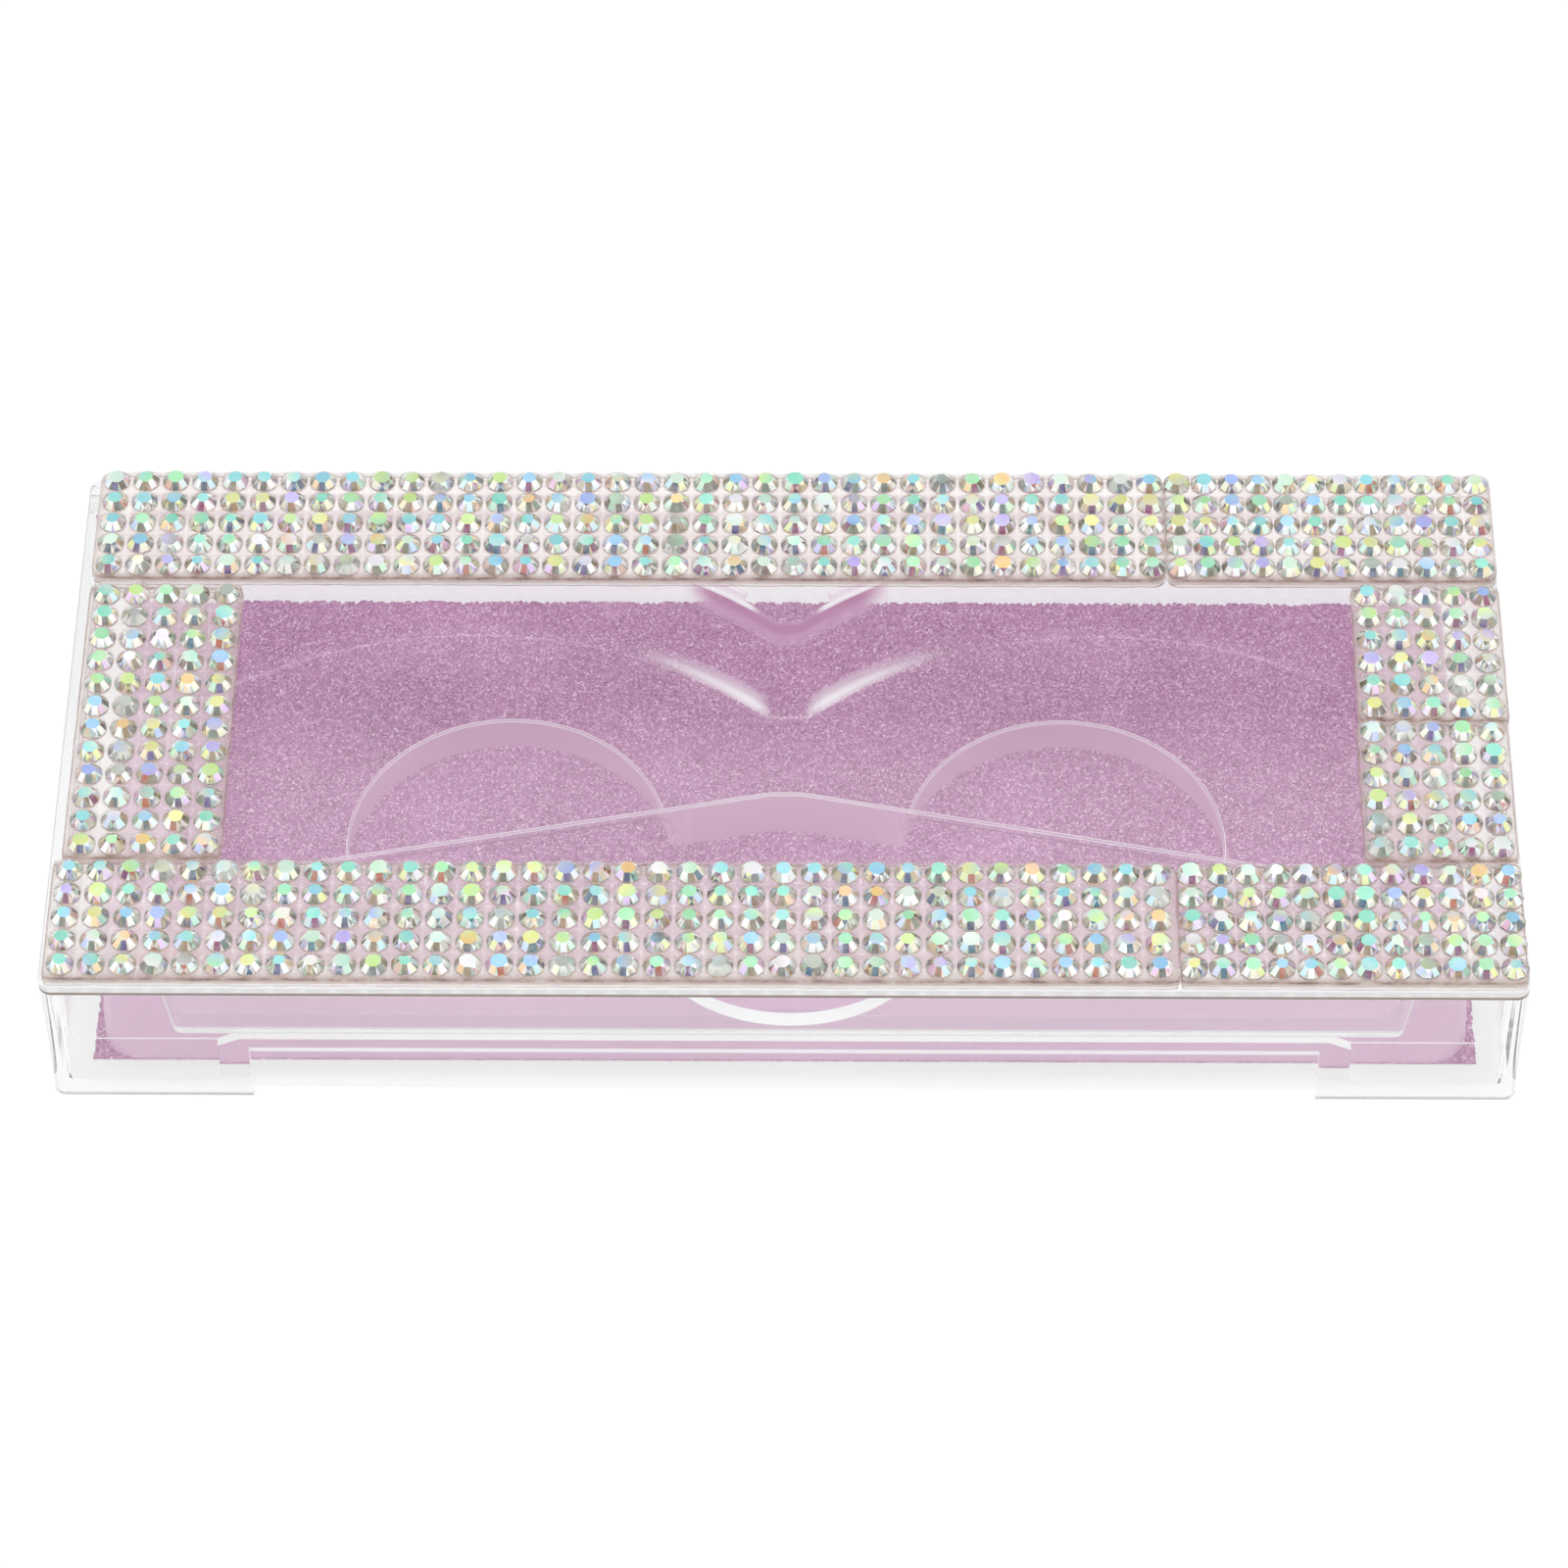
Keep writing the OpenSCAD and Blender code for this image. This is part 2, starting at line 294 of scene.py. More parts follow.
def clear_plastic(name, tint, thin_tint, edges, outer):
    """Clear moulded plastic: narrow edges painted pale as a glow, soft lines of painted shade at the
    corners and foot, and the sole lets the table show.
    """
    n = Finish(name)
    n.put(Transmission_Weight=1.0, IOR=1.57)
    flow = n.noise(35, 3, 0.55)
    n.feed("Base Color", n.mix(n.spread(flow, 0.3, 0.7, 0, 1), tint, thin_tint))
    n.feed("Roughness", n.spread(n.noise(260, 4, 0.6), 0.35, 0.75, 0.0, 0.06))
    n.bump(flow, 0.00002)
    place = n.add("ShaderNodeSeparateXYZ")
    n.link(n.place(), place.inputs[0])
    x, y, z = (n.times(place.outputs[k], 1 / MM) for k in range(3))
    painted_glow_mask, painted_contact_shade = edges(n, x, y, z)
    # Narrow faces painted pale as a glow, and darker taupe as painted shade where the lid's plate rests on
    # the base
    pale = n.shade("ShaderNodeBsdfDiffuse", n.mix(painted_contact_shade, (0.84, 0.84, 0.845, 1), lin(150, 138, 130)))
    body = n.mixed(n.times(painted_glow_mask, 0.85), n.shader.outputs[0], pale)
    # Corners and the bottom edge get soft grey lines of painted shade
    far_x = n.spread(n.size(x), outer[0] - 0.5, outer[0] - 0.15, 0, 1)
    far_y = n.spread(n.size(y), outer[1] - 0.5, outer[1] - 0.15, 0, 1)
    low = n.spread(z, 0.15, 0.5, 1, 0)
    line = n.most(n.times(far_x, far_y), n.times(low, n.most(far_x, far_y)))
    grey = n.shade("ShaderNodeBsdfDiffuse", lin(176, 176, 178))
    body = n.mixed(n.times(line, 0.5), body, grey)
    # Lamps reach what is inside, and light that has crossed many walls goes straight on
    path = n.light_path()
    late = n.above(path["Ray Depth"], PLASTIC_DEPTH)
    sole = n.times(n.below(z, SOLE_HIGH), n.below(line, 0.01))
    straight = n.most(path["Is Shadow Ray"], path["Is Diffuse Ray"], late, sole)
    through = n.shade("ShaderNodeBsdfTransparent", (0.98, 0.98, 0.985, 1))
    n.surface(n.mixed(straight, body, through))
    return n.mat


def formed_film(name):
    """Thin clear sheet: flats and arches are clear, the platforms' walls are milky with a painted white
    highlight on their top edge, and marked places carry painted highlight streaks and the card's mauve
    painted on as its reflection.
    """
    n = Finish(name)
    n.tree.nodes.remove(n.shader)
    tint = n.mix(n.noise(60), (0.985, 0.975, 0.985, 1), (0.998, 0.995, 0.998, 1))
    straight = n.add("ShaderNodeBsdfRefraction")
    straight.inputs["IOR"].default_value = 1.0
    straight.inputs["Roughness"].default_value = 0.0
    n.link(tint, straight.inputs["Color"])
    late = n.above(n.light_path()["Ray Depth"], FILM_DEPTH)
    clear = n.mixed(late, straight.outputs[0], n.shade("ShaderNodeBsdfTransparent", tint))
    # Milky wall colour, turned to the card's mauve where its reflection is painted on
    wall = n.mix(n.mark("painted_card_reflection"), lin(232, 206, 226), lin(208, 158, 192))
    # White where a highlight is painted on
    tone = n.mix(n.mark("painted_highlight"), wall, lin(255, 254, 255))
    front = n.shade("ShaderNodeBsdfDiffuse", tone)
    behind = n.shade("ShaderNodeBsdfTranslucent", tone)
    gloss = n.shade("ShaderNodeBsdfGlossy", (1, 1, 1, 1), 0.2)
    fresnel = n.add("ShaderNodeFresnel")
    fresnel.inputs["IOR"].default_value = 1.5
    outside = n.maths("SUBTRACT", 1.0, n.add("ShaderNodeNewGeometry").outputs["Backfacing"])
    glossy = n.times(n.most(fresnel.outputs[0], n.mark("shine")), outside)
    n.surface(n.mixed(n.mark("milk"), n.mixed(glossy, clear, gloss), n.mixed(0.4, front, behind)))
    return n.mat


def glitter(name):
    """Lilac glitter on a white card: fine flakes, some white and some dark, over slow clouds of tone."""
    n = Finish(name)
    cloud_stops = [(0.3, lin(156, 98, 141)), (0.5, lin(172, 113, 157)), (0.72, lin(193, 134, 179))]
    flake_stops = [
        (0.0, lin(84, 48, 76)),
        (0.16, lin(142, 87, 127)),
        (0.5, lin(178, 121, 163)),
        (0.86, lin(208, 156, 194)),
        (0.95, lin(252, 232, 247)),
    ]
    clouds = n.ramp(n.noise(90, 3, 0.6), cloud_stops)
    flakes = n.add("ShaderNodeSeparateColor")
    n.link(n.cells(9500).outputs["Color"], flakes.inputs[0])
    face = n.mix(0.62, clouds, n.ramp(flakes.outputs["Red"], flake_stops))
    paper = n.spread(n.rising(), 0.2, 0.4, 1, 0)
    n.feed("Base Color", n.mix(paper, face, lin(248, 246, 246)))
    n.feed("Roughness", n.spread(flakes.outputs["Green"], 0, 1, 0.25, 0.6))
    n.put(Metallic=0.1)
    n.bump(flakes.outputs["Blue"], 0.00006, 0.25)
    return n.mat


def resin(name):
    """Clear carrier: taupe lips round the stones, pale ridges between them, streaks on its sides."""
    n = Finish(name)
    n.put(Roughness=0.1, IOR=1.5)
    n.bump(n.noise(900, 3), 0.00004)
    lip = n.mark("lip")
    ridge = n.mark("ridge")
    up = n.rising()
    side = n.spread(up, 0.35, 0.75, 1, 0)
    streak_stops = [(0.36, lin(132, 108, 96)), (0.52, lin(172, 150, 138)), (0.72, lin(208, 194, 184))]
    streaks = n.ramp(n.noise(700, 4, 0.65), streak_stops)
    base = n.mix(n.spread(n.noise(240, 3), 0.35, 0.65, 0, 1), lin(240, 230, 230), lin(254, 250, 247))
    base = n.mix(n.times(ridge, 0.8), base, lin(255, 253, 252))
    base = n.mix(n.times(lip, 0.75), base, lin(172, 148, 140))
    n.feed("Base Color", n.mix(side, base, streaks))
    grain = n.spread(n.noise(1400, 3, 0.6), 0.4, 0.7, 0.0, 0.45)
    body = n.spread(n.noise(500, 2), 0.3, 0.7, 0.03, 0.15)
    body = n.maths("ADD", body, n.times(ridge, grain))
    body = n.maths("ADD", body, n.times(n.mark("haze"), 0.6))
    body = n.most(body, n.times(lip, 0.8), n.times(side, 0.92))
    body = n.times(body, n.spread(up, -0.1, 0.1, 0, 1))
    through = n.shade("ShaderNodeBsdfTransparent", (0.99, 0.985, 0.985, 1))
    n.surface(n.mixed(body, through, n.shader.outputs[0]))
    return n.mat


def adhesive(name):
    """Clear glue: brownish only along its squeezed out sides."""
    n = Finish(name)
    stops = [(0.3, lin(142, 120, 106)), (0.5, lin(182, 163, 150)), (0.7, lin(214, 200, 190))]
    n.feed("Base Color", n.ramp(n.noise(420, 3, 0.6), stops))
    n.put(Roughness=0.25)
    n.bump(n.noise(800, 3), 0.00005)
    lean = n.spread(n.size(n.rising()), 0.3, 0.9, 0.9, 0.03)
    through = n.shade("ShaderNodeBsdfTransparent", (0.99, 0.98, 0.975, 1))
    n.surface(n.mixed(lean, through, n.shader.outputs[0]))
    return n.mat


def crystal(name):
    """Coated crystal in the painted tints of its facets: coating colours with painted reflections, glints
    and shade.
    """
    n = Finish(name)
    tint = n.add("ShaderNodeAttribute", attribute_name="facet_painted_tint").outputs["Color"]
    frost = n.spread(n.noise(1500, 2), 0.3, 0.7, 0.0, 0.18)
    n.feed("Base Color", n.mix(frost, tint, (0.9, 0.95, 1.0, 1)))
    n.put(Metallic=0.15, Roughness=0.18, Coat_Weight=0.7, Coat_Roughness=0.03, Coat_IOR=1.5)
    return n.mat


# Mesh helpers
def mesh_object(name, verts, faces, material, smooth=False):
    mesh = bpy.data.meshes.new(name)
    mesh.from_pydata([(x * MM, y * MM, z * MM) for x, y, z in verts], [], faces)
    mesh.validate()
    mesh.polygons.foreach_set("use_smooth", [smooth] * len(mesh.polygons))
    mesh.materials.append(material)
    ob = bpy.data.objects.new(name, mesh)
    bpy.context.scene.collection.objects.link(ob)
    return ob


def cleaned(ob, distance=0.0005):
    bm = bmesh.new()
    bm.from_mesh(ob.data)
    bmesh.ops.remove_doubles(bm, verts=bm.verts, dist=distance * MM)
    bmesh.ops.recalc_face_normals(bm, faces=bm.faces)
    bm.to_mesh(ob.data)
    bm.free()
    return ob


def mark_points(ob, marks):
    """Values from 0 to 1 on the points of a mesh, for its material to read."""
    for kind, values in marks.items():
        attribute = ob.data.attributes.new(kind, "FLOAT", "POINT")
        attribute.data.foreach_set("value", values)


def unshaded(ob):
    """Keeps what is clear and thin from shading what lies under it."""
    ob.visible_shadow = False
    ob.visible_diffuse = False


# Rhinestones
STONE_R = 1.035
TABLE_R = 0.55
GIRDLE_Z = 14.38
BACK_Z = 14.02
CROWN = TABLE_Z - GIRDLE_Z
FACET = 45
DULL_SHARE = 0.06

# How far a facet has to face the front of the case to take the painted reflections of the front, or of its
# sides
FRONTAL = 0.9
SLANTED = 0.45

# Tints of the facets, each with how often it is drawn: coating colours and painted reflections, glints and
# shade on an opaque crystal
TABLE_TINTS = [
    (lin(144, 230, 204), 15), (lin(170, 238, 182), 15), (lin(146, 224, 230), 15),
    (lin(156, 210, 248), 12), (lin(208, 240, 150), 15), (lin(240, 236, 150), 8),
    (lin(168, 186, 250), 6), (lin(248, 202, 134), 5), (lin(196, 176, 242), 4),
    (lin(178, 182, 172), 4), (lin(218, 240, 222), 12), (lin(244, 236, 244), 7),
]
# Painted glints, white and pastel
PAINTED_GLINT_TINTS = [
    (lin(255, 255, 253), 42), (lin(242, 254, 254), 18), (lin(255, 252, 214), 18),
    (lin(206, 242, 254), 11), (lin(240, 248, 166), 12), (lin(196, 210, 254), 7),
    (lin(254, 214, 156), 8), (lin(206, 250, 222), 9), (lin(234, 202, 254), 6),
]
# Painted dark reflections
PAINTED_DARK_TINTS = [
    (lin(112, 112, 92), 18), (lin(76, 88, 124), 10), (lin(138, 60, 106), 12),
    (lin(44, 106, 128), 10), (lin(182, 92, 58), 9), (lin(152, 130, 92), 16), (lin(96, 76, 138), 9),
    (lin(116, 128, 108), 12),
]
SIDE_TINTS = [
    (lin(154, 146, 116), 16), (lin(204, 200, 180), 14), (lin(136, 148, 138), 9),
    (lin(206, 184, 146), 11), (lin(186, 182, 222), 8), (lin(156, 210, 184), 10),
    (lin(228, 188, 170), 9), (lin(106, 98, 76), 14), (lin(255, 254, 246), 20),
    (lin(224, 172, 202), 7),
]
DULL_TINTS = [
    (lin(182, 186, 176), 10), (lin(214, 216, 208), 10), (lin(150, 152, 144), 6),
    (lin(240, 240, 236), 9), (lin(120, 118, 108), 4),
]
# Painted reflections and shade for the band round the girdle
PAINTED_GIRDLE_TINTS = [
    (lin(148, 136, 110), 5), (lin(196, 166, 116), 3), (lin(204, 158, 178), 3),
    (lin(112, 108, 98), 4),
]


def pick(table, rng):
    return rng.choices([c for c, _ in table], [w for _, w in table])[0]


def toned(colour, rng, spread=0.1):
    k = 1 + rng.uniform(-spread, spread)
    return (min(1, colour[0] * k), min(1, colour[1] * k), min(1, colour[2] * k), 1.0)


def between(a, b, t):
    return tuple(a[k] * (1 - t) + b[k] * t for k in range(4))


class Stone:
    """Collects the vertices, faces and corner tints of one stone."""

    def __init__(self, cx, cy, turn, tilt, rng):
        self.cx = cx
        self.cy = cy
        self.turn = turn
        self.tilt = tilt
        self.rng = rng
        self.verts = []
        self.faces = []
        self.tints = []

    def point(self, r, deg, z):
        a = math.radians(deg + self.turn)
        x, y = r * math.cos(a), r * math.sin(a)
        self.verts.append((self.cx + x, self.cy + y, z + x * self.tilt[0] + y * self.tilt[1]))
        return len(self.verts) - 1

    def face(self, corners, first, second=None, rim=0.0):
        """A facet whose tint runs from one colour to another, with painted shade darkening it towards the
        girdle by the given share.
        """
        second = second or first
        slant = self.rng.uniform(0, 6.28)
        spots = [self.verts[k] for k in corners]
        mx = sum(p[0] for p in spots) / len(spots)
        my = sum(p[1] for p in spots) / len(spots)
        reach = [math.cos(slant) * (p[0] - mx) + math.sin(slant) * (p[1] - my) for p in spots]
        most = max(abs(v) for v in reach) or 1.0
        tints = []
        for p, v in zip(spots, reach):
            # Painted shade, deeper towards the girdle
            depth = min(1.0, max(0.0, (TABLE_Z - p[2]) / CROWN))
            tint = between(first, second, 0.5 + 0.5 * v / most)
            tints.append((*(c * (1 - rim * depth) for c in tint[:3]), 1.0))
        self.faces.append(corners)
        self.tints.append(tints)


def facet_tints(facing, dull, rng):
    """Two painted tints for a main facet, reflections and glints drawn by how far it faces the front of
    the case.
    """
    if dull and rng.random() < 0.75:
        return toned(pick(DULL_TINTS, rng), rng), toned(pick(DULL_TINTS, rng), rng)
    if facing > FRONTAL:
        table = PAINTED_DARK_TINTS if rng.random() < 0.8 else PAINTED_GLINT_TINTS
    elif facing > SLANTED:
        table = rng.choices([PAINTED_GLINT_TINTS, SIDE_TINTS, PAINTED_DARK_TINTS], [8, 2, 1])[0]
    else:
        table = SIDE_TINTS if rng.random() < 0.8 else PAINTED_GLINT_TINTS
    first = toned(pick(table, rng), rng)
    return first, between(first, toned(pick(table, rng), rng), rng.uniform(0.1, 0.6))


def make_stone(cx, cy, turn, tilt, rng):
    """One flat-backed stone: a table, eight main facets split into shards, a girdle and a foiled back."""
    stone = Stone(cx, cy, turn, tilt, rng)
    small, usual, large = rng.uniform(0.8, 0.92), rng.uniform(0.94, 1.1), rng.uniform(1.12, 1.24)
    table_r = TABLE_R * rng.choices([small, usual, large], [3, 6, 2])[0]
    dull = rng.random() < DULL_SHARE
    ring = [FACET * k + s * FACET / 3 for k in range(8) for s in (-1, 1)]
    top = [stone.point(table_r, FACET * k + FACET / 2, TABLE_Z) for k in range(8)]
    girdle = [stone.point(STONE_R, deg, GIRDLE_Z) for deg in ring]
    waist = [stone.point(STONE_R * 0.985, deg, BACK_Z + 0.1) for deg in ring]
    back = [stone.point(STONE_R * 0.8, deg, BACK_Z) for deg in ring]
    first = toned(pick(DULL_TINTS if dull else TABLE_TINTS, rng), rng)
    stone.face(top, first, between(first, toned(pick(TABLE_TINTS, rng), rng), rng.uniform(0.1, 0.75)))
    for k in range(8):
        before, after = top[(k - 1) % 8], top[k]
        low, high = girdle[2 * k], girdle[2 * k + 1]
        facing = -math.sin(math.radians(FACET * k + turn))
        one, two = facet_tints(facing, dull, rng)
        kind = rng.random()
        # Share of painted shade towards the girdle, more on facets turned from the front
        rim = 0.1 if facing > SLANTED else 0.45
        if kind < (0.62 if facing > SLANTED else 0.25):
            stone.face([before, low, high, after], one, two, rim)
        else:
            share = rng.uniform(0.3, 0.62)
            swing = rng.uniform(-5, 5)
            reach = table_r + (STONE_R - table_r) * share
            mid = stone.point(reach, FACET * k + swing, TABLE_Z - CROWN * share + 0.03)
            other, last = facet_tints(facing - 0.2, dull, rng)
            # Some shards take a painted dark reflection
            if rng.random() < 0.45:
                last = toned(pick(PAINTED_DARK_TINTS, rng), rng)
            stone.face([before, mid, after], one, two)
            stone.face([before, low, mid], other, last, rim)
            stone.face([mid, low, high], last, one, rim)
            stone.face([mid, high, after], two, other, rim)
        side = toned(pick(DULL_TINTS if dull else SIDE_TINTS, rng), rng, 0.2)
        stone.face([after, high, girdle[(2 * k + 2) % 16]], side, toned(pick(SIDE_TINTS, rng), rng), rim)
    for k in range(16):
        j = (k + 1) % 16
        # Girdle band in painted reflections and shade, then the foiled back
        stone.face([girdle[k], waist[k], waist[j], girdle[j]], toned(pick(PAINTED_GIRDLE_TINTS, rng), rng, 0.2))
        stone.face([waist[k], back[k], back[j], waist[j]], toned(lin(216, 214, 208), rng, 0.1))
    stone.face(back[::-1], lin(236, 235, 232))
    return stone


def band_stones(name, layout, material):
    cx, cy, cols, rows, px, py = layout[:6]
    rng = random.Random(name)
    verts, faces, tints = [], [], []
    for j in range(rows):
        for i in range(cols):
            x = cx + (i - (cols - 1) / 2) * px + rng.gauss(0, 0.014)
            y = cy + (j - (rows - 1) / 2) * py + rng.gauss(0, 0.014)
            turn = rng.gauss(0, 6) if rng.random() < 0.7 else rng.uniform(-22, 22)
            stone = make_stone(x, y, turn, (rng.gauss(0, 0.03), rng.gauss(0, 0.03)), rng)
            start = len(verts)
            verts += stone.verts
            faces += [[start + q for q in face] for face in stone.faces]
            tints += [tint for face in stone.tints for tint in face]
    ob = mesh_object("rhinestones_" + name, verts, faces, material)
    attribute = ob.data.attributes.new("facet_painted_tint", "FLOAT_COLOR", "CORNER")
    for p in range(len(tints)):
        attribute.data[p].color = tints[p]
    unshaded(ob)
    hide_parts("stones_" + name)
    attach(ob, "lid")
    return ob


# Carrier of each band: cells with a cup round each stone
def cell_border(x0, x1, y0, y1, cx, cy):
    """Sixteen points round a cell, anticlockwise from the right side's middle."""
    xa, xb = cx + (x1 - cx) / 2, cx + (x0 - cx) / 2
    ya, yb = cy + (y1 - cy) / 2, cy + (y0 - cy) / 2
    right = [(x1, cy), (x1, ya), (x1, y1), (xa, y1)]
    rear = [(cx, y1), (xb, y1), (x0, y1), (x0, ya)]
    left = [(x0, cy), (x0, yb), (x0, y0), (xb, y0)]
    front = [(cx, y0), (xa, y0), (x1, y0), (x1, yb)]
    return right + rear + left + front


def band_box(layout):
    """Lowest and highest x, then lowest and highest y, of a band."""
    cx, cy, cols, rows, px, py, m = layout[:7]
    half_x, half_y = (cols - 1) / 2 * px, (rows - 1) / 2 * py
    return cx - half_x - m[0], cx + half_x + m[1], cy - half_y - m[2], cy + half_y + m[3]


def cup_cells(layout):
    """Cells of a carrier, a cup in each, with the marks of their lips and ridges."""
    cx, cy, cols, rows, px, py = layout[:6]
    x_low, x_high, y_low, y_high = band_box(layout)
    half = min(px, py) / 2
    # Radius, height and lip of each ring of a cup, from its floor to the flat round it
    rings = [(0.9, 13.96, 0.0), (1.034, 14.06, 0.3), (1.036, 14.36, 0.3)]
    rings += [(half - 0.012, 14.39, 1.0), (half - 0.004, 14.34, 0.3)]
    verts, faces, lips, ridges = [], [], [], []
    for j in range(rows):
        for i in range(cols):
            sx, sy = cx + (i - (cols - 1) / 2) * px, cy + (j - (rows - 1) / 2) * py
            x0 = x_low if i == 0 else sx - px / 2
            x1 = x_high if i == cols - 1 else sx + px / 2
            y0 = y_low if j == 0 else sy - py / 2
            y1 = y_high if j == rows - 1 else sy + py / 2
            border = cell_border(x0, x1, y0, y1, sx, sy)
            start = len(verts)
            for r, z, lip in rings:
                for bx, by in border:
                    a = math.atan2((by - sy) / (y1 - y0), (bx - sx) / (x1 - x0))
                    verts.append((sx + r * math.cos(a), sy + r * math.sin(a), z))
                    lips.append(lip)
                    ridges.append(0.0)
            for k, (bx, by) in enumerate(border):
                corner = k % 4 == 2
                edge = bx in (x_low, x_high) or by in (y_low, y_high)
                rise = -0.1 if edge else 0.04 if corner else 0.02
                verts.append((bx, by, BAND_Z + rise))
                lips.append(0.9 if by == y_low else 0.3 if edge else 0.0)
                ridges.append(layout[8] if bx in (x0, x1) and not edge else 0.0)
            faces.append([start + k for k in range(16)])
            for ring in range(len(rings)):
                for k in range(16):
                    a, b = start + 16 * ring + k, start + 16 * ring + (k + 1) % 16
                    faces.append([a, a + 16, b + 16, b])
    return verts, faces, lips, ridges


def band_skirt(bm, layout):
    """Uneven sides drawn down from the rim of a carrier, then its rounded corners and its flat back."""
    cx, cy = layout[:2]
    x_low, x_high, y_low, y_high = box = band_box(layout)
    outline = [e for e in bm.edges if e.is_boundary]
    centre = Vector((cx, cy, 0)) * MM
    for z, grow in ((BAND_Z - 0.3, 0.03), (GLUE_Z + 0.2, 0.02), (GLUE_Z + 0.02, -0.06)):
        made = bmesh.ops.extrude_edge_only(bm, edges=outline)["geom"]
        outline = [g for g in made if isinstance(g, bmesh.types.BMEdge) and g.is_boundary]
        for v in {v for e in outline for v in e.verts}:
            v.co.z = z * MM
            side_x = 1 if v.co.x > centre.x else -1
            side_y = 1 if v.co.y > centre.y else -1
            near_x = min(abs(v.co.x - x_low * MM), abs(v.co.x - x_high * MM))
            near_y = min(abs(v.co.y - y_low * MM), abs(v.co.y - y_high * MM))
            wave = grow * noise.noise(Vector((v.co.x, v.co.y, z * MM)) * 900) + grow
            if near_x < near_y:
                v.co.x += side_x * wave * MM
            else:
                v.co.y += side_y * wave * MM
    for v in bm.verts:
        x, y = rounded(v.co.x / MM, v.co.y / MM, box, layout[7])
        v.co.x, v.co.y = x * MM, y * MM
    bmesh.ops.contextual_create(bm, geom=outline)


def band_carrier(name, layout, material):
    verts, faces, lips, ridges = cup_cells(layout)
    ob = mesh_object("banding_" + name, verts, faces, material, smooth=True)
    mark_points(ob, {"lip": lips, "ridge": ridges, "haze": [layout[9]] * len(verts)})
    bm = bmesh.new()
    bm.from_mesh(ob.data)
    bmesh.ops.remove_doubles(bm, verts=bm.verts, dist=0.002 * MM)
    band_skirt(bm, layout)
    bmesh.ops.recalc_face_normals(bm, faces=bm.faces)
    bm.to_mesh(ob.data)
    bm.free()
    unshaded(ob)
    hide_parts("band_" + name)
    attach(ob, "lid")
    return ob


def rounded(x, y, box, r):
    """The point moved in where it lies beyond the rounded corner of a box."""
    cx, cy = (box[0] + box[1]) / 2, (box[2] + box[3]) / 2
    hx, hy = (box[1] - box[0]) / 2 - r, (box[3] - box[2]) / 2 - r
    qx, qy = abs(x - cx) - hx, abs(y - cy) - hy
    reach = math.hypot(qx, qy)
    if qx <= 0 or qy <= 0 or reach <= r:
        return x, y
    side_x = 1 if x > cx else -1
    side_y = 1 if y > cy else -1
    return cx + side_x * (hx + qx * r / reach), cy + side_y * (hy + qy * r / reach)


# Height and inset of the corners of the bead's section
BEAD = (
    (LID_Z + 0.01, -0.02),
    (LID_Z + 0.13, -0.06),
    (GLUE_Z - 0.01, 0.08),
    (GLUE_Z - 0.01, 0.5),
    (LID_Z + 0.01, 0.6),
)
BEAD_STEP = 0.4


def glue_bead(name, layout, material):
    """Adhesive squeezed out a little, unevenly, in a bead that runs round a band."""
    x_low, x_high, y_low, y_high = box = band_box(layout)
    nx, ny = int((x_high - x_low) / BEAD_STEP), int((y_high - y_low) / BEAD_STEP)
    loop = [(x_low + (x_high - x_low) * k / nx, y_low, 0, -1) for k in range(nx)]
    loop += [(x_high, y_low + (y_high - y_low) * k / ny, 1, 0) for k in range(ny)]
    loop += [(x_high - (x_high - x_low) * k / nx, y_high, 0, 1) for k in range(nx)]
    loop += [(x_low, y_high - (y_high - y_low) * k / ny, -1, 0) for k in range(ny)]
    verts, faces = [], []
    for z, inset in BEAD:
        for x, y, ux, uy in loop:
            slow = noise.noise(Vector((x, y, 3.0)) * 0.9)
            quick = noise.noise(Vector((x, y, 9.0)) * 3)
            wobble = 0.07 * slow + 0.03 * quick
            if inset < 0.3:
                inner = (x - ux * (inset + wobble), y - uy * (inset + wobble))
                verts.append((*rounded(*inner, box, layout[7]), z))
            else:
                cx, cy = (x_low + x_high) / 2, (y_low + y_high) / 2
                kx, ky = 1 - 2 * inset / (x_high - x_low), 1 - 2 * inset / (y_high - y_low)
                verts.append((cx + (x - cx) * kx, cy + (y - cy) * ky, z))
    n, rings = len(loop), len(BEAD)
    for ring in range(rings):
        after = (ring + 1) % rings
        for k in range(n):
            j = (k + 1) % n
            faces.append([ring * n + k, ring * n + j, after * n + j, after * n + k])
    ob = cleaned(mesh_object("adhesive_" + name, verts, faces, material))
    unshaded(ob)
    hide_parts("glue_" + name)
    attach(ob, "lid")
    return ob


# Glitter card with a rough cut edge
CARD_W, CARD_D, CARD_Y = 104.2, 44.4, -0.05
CARD_STEP = 0.16
TORN = 0.5


